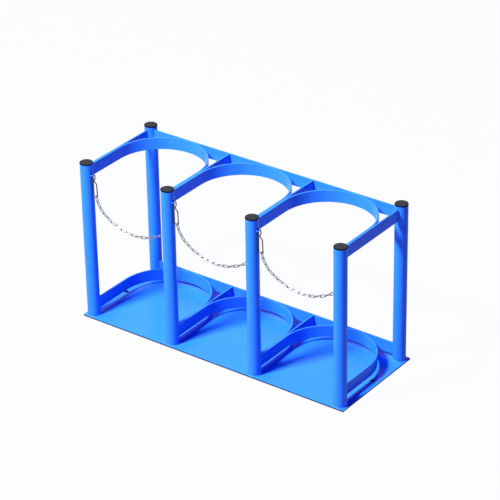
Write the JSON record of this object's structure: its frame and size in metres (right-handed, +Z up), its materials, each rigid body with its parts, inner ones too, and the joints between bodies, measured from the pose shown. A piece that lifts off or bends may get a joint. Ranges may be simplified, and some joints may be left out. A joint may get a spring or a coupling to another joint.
{
  "type": "gas cylinder stand",
  "caption": "Floor stand for gas cylinders: flat base plate, round tube posts with end caps, bent bar rings at two levels and a chain with snap hook across each bay.",
  "frame": {"origin": "centre of the base plate's underside", "axes": "+X to the right along the row of bays, +Y from the chained front to the rear rail, +Z up along the posts"},
  "size_m": [0.81, 0.2974, 0.4421],
  "materials": {
    "blue_paint": "gloss",
    "black_plastic": "matte",
    "zinc_steel": "satin"
  },
  "bodies": {
    "frame": {"base_plate": "blue_paint", "foot_welds": "blue_paint", "post_front_1": "blue_paint", "post_front_2": "blue_paint", "post_front_3": "blue_paint", "post_front_4": "blue_paint", "post_rear_left": "blue_paint", "post_rear_right": "blue_paint", "cap_front_1": "black_plastic", "cap_front_2": "black_plastic", "cap_front_3": "black_plastic", "cap_front_4": "black_plastic", "cap_rear_left": "black_plastic", "cap_rear_right": "black_plastic", "upper_rear_rail": "blue_paint", "upper_ring_1": "blue_paint", "upper_ring_2": "blue_paint", "upper_ring_3": "blue_paint", "upper_divider_1": "blue_paint", "upper_divider_2": "blue_paint", "lower_rear_rail": "blue_paint", "lower_ring_1": "blue_paint", "lower_ring_2": "blue_paint", "lower_ring_3": "blue_paint", "lower_divider_1": "blue_paint", "lower_divider_2": "blue_paint", "upper_side_rail_left": "blue_paint", "upper_side_rail_right": "blue_paint", "hook_eye_1": "blue_paint", "hook_eye_2": "blue_paint", "hook_eye_3": "blue_paint", "chain_eye_1": "blue_paint", "chain_eye_2": "blue_paint", "chain_eye_3": "blue_paint", "spare_eye_1": "blue_paint", "spare_eye_2": "blue_paint", "spare_eye_3": "blue_paint"},
    "chain_1_body": {"hook_1": "zinc_steel", "gate_pin_1": "zinc_steel", "chain_1": "zinc_steel"},
    "gate_1_body": {"gate_1": "zinc_steel"},
    "chain_2_body": {"hook_2": "zinc_steel", "gate_pin_2": "zinc_steel", "chain_2": "zinc_steel"},
    "gate_2_body": {"gate_2": "zinc_steel"},
    "chain_3_body": {"hook_3": "zinc_steel", "gate_pin_3": "zinc_steel", "chain_3": "zinc_steel"},
    "gate_3_body": {"gate_3": "zinc_steel"}
  },
  "joints": [
    {"name": "chain_1_swing", "type": "hinge", "parent": "frame", "child": "chain_1_body", "pos_m": [-0.3616, -0.13, 0.41395], "axis": [0.8947, 0.0245, -0.4459], "range_deg": [-20, 20]},
    {"name": "gate_1_hinge", "type": "hinge", "parent": "chain_1_body", "child": "gate_1_body", "pos_m": [-0.3652, -0.1301, 0.38045], "axis": [0.0273, -0.9996, 0], "range_deg": [0, 17], "stiffness_Nm_per_rad": 0.02, "springref_deg": -17.19},
    {"name": "chain_2_swing", "type": "hinge", "parent": "frame", "child": "chain_2_body", "pos_m": [-0.1056, -0.13, 0.41395], "axis": [0.8947, 0.0245, -0.4459], "range_deg": [-20, 20]},
    {"name": "gate_2_hinge", "type": "hinge", "parent": "chain_2_body", "child": "gate_2_body", "pos_m": [-0.1092, -0.1301, 0.38045], "axis": [0.0273, -0.9996, 0], "range_deg": [0, 17], "stiffness_Nm_per_rad": 0.02, "springref_deg": -17.19},
    {"name": "chain_3_swing", "type": "hinge", "parent": "frame", "child": "chain_3_body", "pos_m": [0.1504, -0.13, 0.41395], "axis": [0.8947, 0.0245, -0.4459], "range_deg": [-20, 20]},
    {"name": "gate_3_hinge", "type": "hinge", "parent": "chain_3_body", "child": "gate_3_body", "pos_m": [0.1468, -0.1301, 0.38045], "axis": [0.0273, -0.9996, 0], "range_deg": [0, 17], "stiffness_Nm_per_rad": 0.02, "springref_deg": -17.19}
  ]
}
